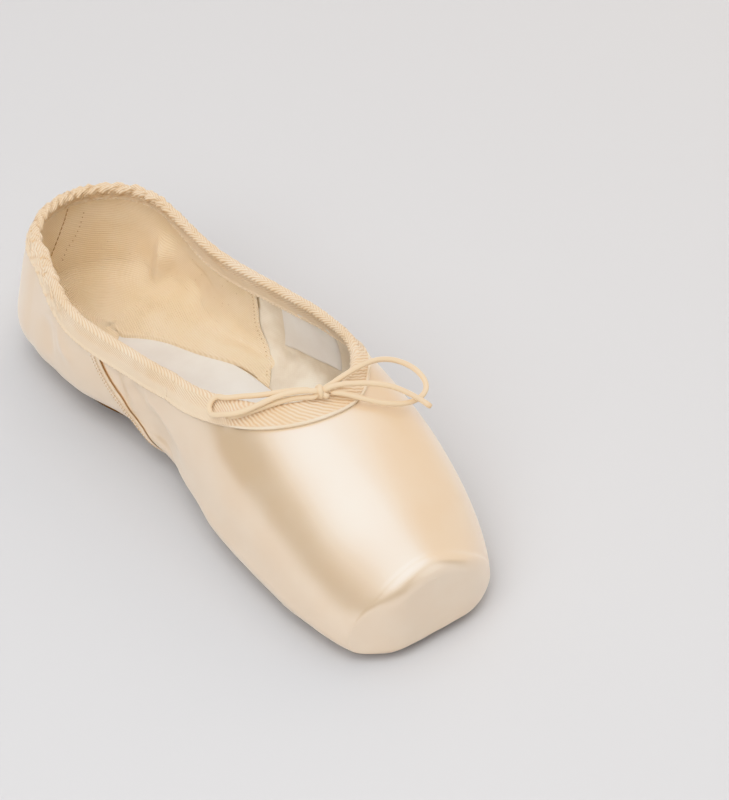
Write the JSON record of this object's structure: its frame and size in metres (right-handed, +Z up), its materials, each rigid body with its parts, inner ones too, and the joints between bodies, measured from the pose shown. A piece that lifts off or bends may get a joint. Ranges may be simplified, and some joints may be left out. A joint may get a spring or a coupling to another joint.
{
  "type": "pointe shoe",
  "caption": "Satin pointe shoe with a flat platform at the toe, a cotton drawstring casing tied in a bow, and a short leather sole.",
  "frame": {"origin": "on the floor, midway between the shoe's sides and between heel and toe", "axes": "+Z up, the toe towards -Y, +X the wearer's left"},
  "size_m": [0.0815, 0.232, 0.0649],
  "materials": {
    "satin": "satin, with a soft sheen",
    "tape": "matte cotton twill",
    "leather": "matte",
    "sock": "matte",
    "cord": "matte, round elastic"
  },
  "bodies": {
    "root": {"upper": "satin", "outsole": "leather", "insole": "sock", "collar_binding": "tape", "drawstring_knot": "cord", "drawstring_loop_left": "cord", "drawstring_loop_right": "cord", "drawstring_end_left": "cord", "drawstring_end_right": "cord"}
  },
  "joints": []
}
